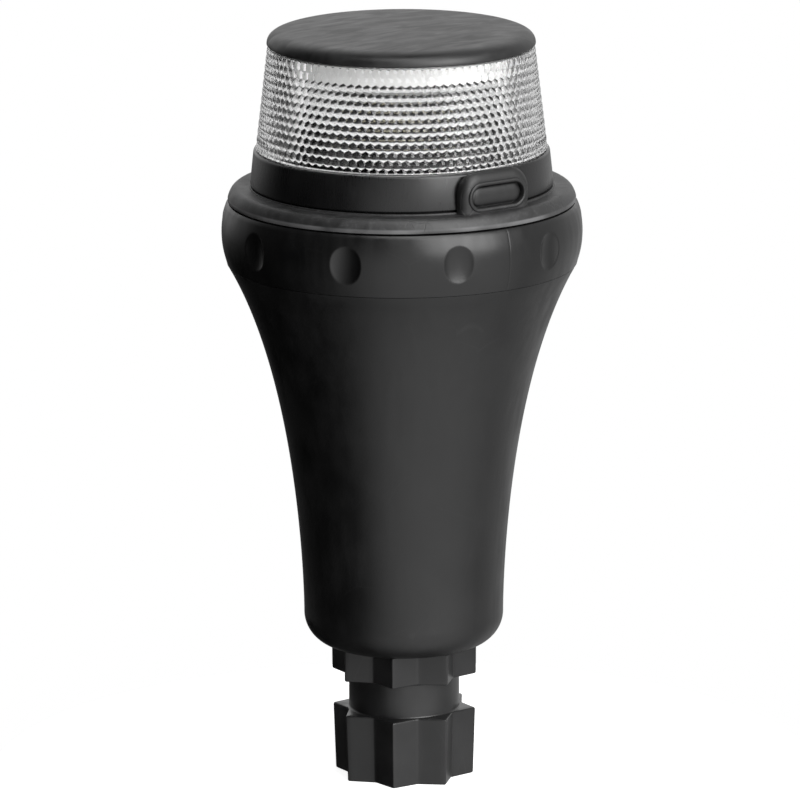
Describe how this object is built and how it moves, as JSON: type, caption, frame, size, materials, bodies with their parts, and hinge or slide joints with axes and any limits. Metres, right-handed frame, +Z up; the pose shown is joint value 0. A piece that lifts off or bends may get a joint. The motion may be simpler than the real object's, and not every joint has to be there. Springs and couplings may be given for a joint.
{
  "type": "all-round marine lantern",
  "caption": "Battery all-round lantern: flared handle with a star-section mounting plug, and a screw-on head with grip collar, push switch, prismatic lens band and cap.",
  "frame": {"origin": "centre of the mounting plug's foot, at the lowest point of the lantern", "axes": "+Z up along the lantern's axis, from plug to cap; -Y towards the push switch on the rubber flange"},
  "size_m": [0.0726, 0.0732, 0.1549],
  "materials": {
    "handle_plastic": "moulded satin black",
    "collar_plastic": "smooth satin black",
    "bezel_plastic": "smooth satin black",
    "cap_plastic": "fine-textured satin black",
    "flange_rubber": "soft matte black",
    "black_rubber": "matte black",
    "clear_lens": "clear moulded plastic with prismatic cells",
    "white_plastic": "white reflector",
    "carrier_plastic": "plain moulded black",
    "cell_can": "printed sleeve, left plain",
    "steel": "zinc plated",
    "spring_steel": "nickel plated wire",
    "brass": "bright",
    "post_aluminium": "satin",
    "led_phosphor": "yellow phosphor",
    "board_green": "solder mask",
    "dark_component": "moulded black",
    "capacitor_can": "bright can"
  },
  "bodies": {
    "handle": {"handle_body": "handle_plastic", "mount_plug": "handle_plastic", "plug_seal": "black_rubber", "plug_screw_1": "steel", "plug_screw_2": "steel", "plug_screw_3": "steel", "plug_screw_4": "steel", "neck_o_ring": "black_rubber", "ejector_spring": "spring_steel"},
    "battery_carrier": {"carrier_base": "carrier_plastic", "carrier_spine": "carrier_plastic", "carrier_top": "carrier_plastic", "aa_cell_1": "cell_can", "aa_cell_2": "cell_can", "aa_cell_3": "cell_can", "aa_cell_4": "cell_can", "cell_spring_1": "spring_steel", "cell_spring_2": "spring_steel", "cell_spring_3": "spring_steel", "cell_spring_4": "spring_steel", "base_link_1": "brass", "base_link_2": "brass", "top_link": "brass", "terminal_feed_1": "brass", "terminal_feed_2": "brass", "centre_terminal": "brass", "ring_terminal": "brass"},
    "head": {"grip_collar": "collar_plastic", "rubber_flange": "flange_rubber", "lens_bezel": "bezel_plastic", "lens": "clear_lens", "lens_seal": "black_rubber", "top_cap": "cap_plastic", "cap_seal": "black_rubber", "reflector_cone": "white_plastic", "light_baffle": "bezel_plastic", "heat_spreader": "post_aluminium", "led_board": "dark_component", "led_1": "led_phosphor", "led_2": "led_phosphor", "led_3": "led_phosphor", "led_4": "led_phosphor", "led_5": "led_phosphor", "led_6": "led_phosphor", "driver_housing": "carrier_plastic", "driver_board": "board_green", "driver_coil": "dark_component", "driver_capacitor": "capacitor_can", "centre_contact": "brass", "ring_contact": "brass", "tact_switch": "dark_component", "switch_board": "board_green", "deck_screw_1": "steel", "deck_screw_2": "steel", "deck_screw_3": "steel", "deck_screw_4": "steel", "spreader_screw": "steel"},
    "button": {"switch_button": "flange_rubber"}
  },
  "joints": [
    {"name": "carrier_lift", "type": "slide", "parent": "handle", "child": "battery_carrier", "axis": [0, 0, 1], "range_m": [0, 0.0045], "deforming": ["ejector_spring"]},
    {"name": "head_turn", "type": "hinge", "parent": "battery_carrier", "child": "head", "pos_m": [0, 0, 0.113], "axis": [0, 0, 1], "range_deg": [0, 540]},
    {"name": "button_press", "type": "slide", "parent": "head", "child": "button", "axis": [0, 1, 0], "range_m": [0, 0.0008], "stiffness_N_per_m": 400, "springref_m": -0.001}
  ],
  "couplings": [
    {"joint": "carrier_lift", "follows": "head_turn", "m_per_rad": 0.00047746}
  ]
}
